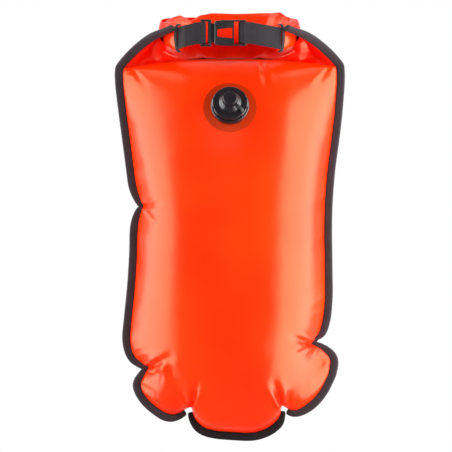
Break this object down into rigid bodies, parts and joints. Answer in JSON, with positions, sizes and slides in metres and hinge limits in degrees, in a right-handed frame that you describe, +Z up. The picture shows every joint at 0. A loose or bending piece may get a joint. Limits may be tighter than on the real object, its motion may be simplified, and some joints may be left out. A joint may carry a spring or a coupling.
{
  "type": "open water swim buoy",
  "caption": "Inflated orange tow float with a dry bag inside, a roll-down mouth closed by a side-release buckle, a screw-in air valve and a side handle.",
  "frame": {"origin": "centre of the loop that the rolled mouth and the buckled straps make, seen from above", "axes": "+Z up along the bag, +X to the viewer's right, -Y out of the front, where the buckle and valve are"},
  "size_m": [0.2672, 0.15, 0.4973],
  "materials": {
    "coated_fabric": "satin",
    "binding_tape": "matte",
    "webbing": "woven",
    "buckle_plastic": "satin",
    "valve_plastic": "gloss",
    "soft_rubber": "satin",
    "weld_film": "satin",
    "stiffener": "satin"
  },
  "bodies": {
    "bag": {"bottom_edge_binding": "binding_tape", "closure_roll": "coated_fabric", "dry_bag_back": "coated_fabric", "dry_bag_front": "coated_fabric", "front_panel": "coated_fabric", "left_closure_strap": "webbing", "left_edge_binding": "binding_tape", "right_closure_strap": "webbing", "right_edge_binding": "binding_tape", "side_handle": "webbing", "stiffener_strip": "stiffener", "valve_collar": "valve_plastic", "valve_patch": "weld_film"},
    "buckle_housing": {"buckle_housing": "buckle_plastic"},
    "buckle_tongue": {"buckle_tongue": "buckle_plastic"},
    "upper_prong": {"upper_prong": "buckle_plastic"},
    "lower_prong": {"lower_prong": "buckle_plastic"},
    "insert_seal": {"insert_seal": "soft_rubber"},
    "valve_insert": {"valve_insert": "valve_plastic", "cap_tether": "soft_rubber"},
    "valve_cap": {"valve_cap": "valve_plastic"},
    "check_flap": {"check_flap": "soft_rubber"}
  },
  "joints": [
    {"name": "housing_slide", "type": "slide", "parent": "bag", "child": "buckle_housing", "axis": [1, 0, 0], "range_m": [0, 0.013], "deforming": ["right_closure_strap"]},
    {"name": "tongue_slide", "type": "slide", "parent": "bag", "child": "buckle_tongue", "axis": [-1, 0, 0], "range_m": [0, 0.013], "deforming": ["left_closure_strap", "upper_prong", "lower_prong"]},
    {"name": "upper_prong_press", "type": "hinge", "parent": "buckle_tongue", "child": "upper_prong", "pos_m": [-0.016, -0.04, 0.0093], "axis": [0, 1, 0], "range_deg": [0, 8.5], "stiffness_Nm_per_rad": 0.05},
    {"name": "lower_prong_press", "type": "hinge", "parent": "buckle_tongue", "child": "lower_prong", "pos_m": [-0.016, -0.04, -0.0093], "axis": [0, -1, 0], "range_deg": [0, 8.5], "stiffness_Nm_per_rad": 0.05},
    {"name": "insert_turn", "type": "hinge", "parent": "insert_seal", "child": "valve_insert", "pos_m": [0.00056, -0.05915, -0.08539], "axis": [0, -0.9301, 0.3673], "range_deg": [0, 720]},
    {"name": "insert_lift", "type": "slide", "parent": "bag", "child": "insert_seal", "axis": [0, -0.9301, 0.3673], "range_m": [0, 0.006]},
    {"name": "cap_swing", "type": "hinge", "parent": "valve_insert", "child": "valve_cap", "pos_m": [0.00738, -0.08004, -0.08329], "axis": [0.6428, 0.2813, 0.7125], "range_deg": [0, 120], "deforming": ["cap_tether"]},
    {"name": "flap_open", "type": "slide", "parent": "valve_insert", "child": "check_flap", "axis": [0, 0.9301, -0.3673], "range_m": [0, 0.002], "stiffness_N_per_m": 5}
  ],
  "couplings": [
    {"joint": "tongue_slide", "follows": "housing_slide", "ratio": 1},
    {"joint": "lower_prong_press", "follows": "upper_prong_press", "ratio": 1},
    {"joint": "insert_turn", "follows": "insert_lift", "rad_per_m": 2094}
  ]
}
